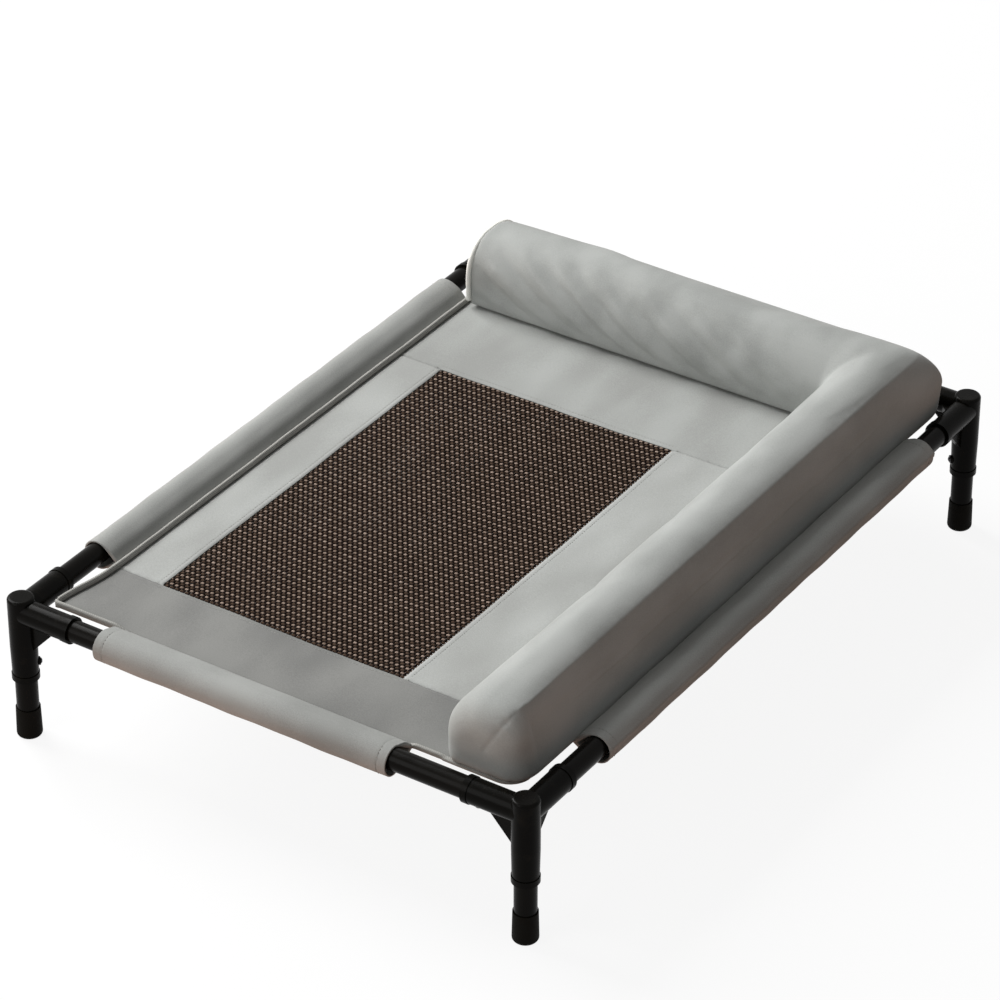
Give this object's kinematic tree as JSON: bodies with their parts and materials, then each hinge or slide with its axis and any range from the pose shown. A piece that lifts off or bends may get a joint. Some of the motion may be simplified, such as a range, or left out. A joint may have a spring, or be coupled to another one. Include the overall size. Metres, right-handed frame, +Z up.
{
  "type": "raised dog cot",
  "caption": "Raised dog cot: black tube frame on short legs, grey fabric sling with a mesh window, and an L-shaped bolster that lifts off.",
  "frame": {"origin": "on the floor, under the middle of the tube frame", "axes": "+Z up, +Y from the open front to the bolster's short run at the rear, +X to the bolster's long run"},
  "size_m": [0.7694, 1.0794, 0.2768],
  "materials": {
    "tube_steel": "satin",
    "fitting_plastic": "satin",
    "foot_rubber": "matte",
    "screw_steel": "satin",
    "suede_fabric": "matte",
    "seam_binding": "matte",
    "mesh_weave": "matte",
    "fastening_tape": "matte",
    "fibre_filling": "matte",
    "piping_fabric": "matte"
  },
  "bodies": {
    "frame": {"corner_fitting_front_left": "fitting_plastic", "leg_front_left": "tube_steel", "foot_front_left": "foot_rubber", "corner_fitting_front_right": "fitting_plastic", "leg_front_right": "tube_steel", "foot_front_right": "foot_rubber", "corner_fitting_rear_right": "fitting_plastic", "leg_rear_right": "tube_steel", "foot_rear_right": "foot_rubber", "corner_fitting_rear_left": "fitting_plastic", "leg_rear_left": "tube_steel", "foot_rear_left": "foot_rubber", "front_rail": "tube_steel", "front_sleeve": "suede_fabric", "front_seam": "seam_binding", "front_panel": "suede_fabric", "rear_rail": "tube_steel", "rear_sleeve": "suede_fabric", "rear_seam": "seam_binding", "rear_panel": "suede_fabric", "left_rail": "tube_steel", "left_sleeve": "suede_fabric", "left_seam": "seam_binding", "left_panel": "suede_fabric", "right_rail": "tube_steel", "right_sleeve": "suede_fabric", "right_seam": "seam_binding", "right_panel": "suede_fabric", "rail_screws": "screw_steel", "leg_screws": "screw_steel", "mesh_panel": "mesh_weave", "panel_loop_tapes": "fastening_tape"},
    "bolster": {"bolster_cover": "suede_fabric", "bolster_filling": "fibre_filling", "bolster_end_piping": "piping_fabric", "bolster_hook_tapes": "fastening_tape"}
  },
  "joints": [
    {"name": "bolster_lift", "type": "slide", "parent": "frame", "child": "bolster", "axis": [0, 0, 1], "range_m": [0, 0.12]}
  ]
}
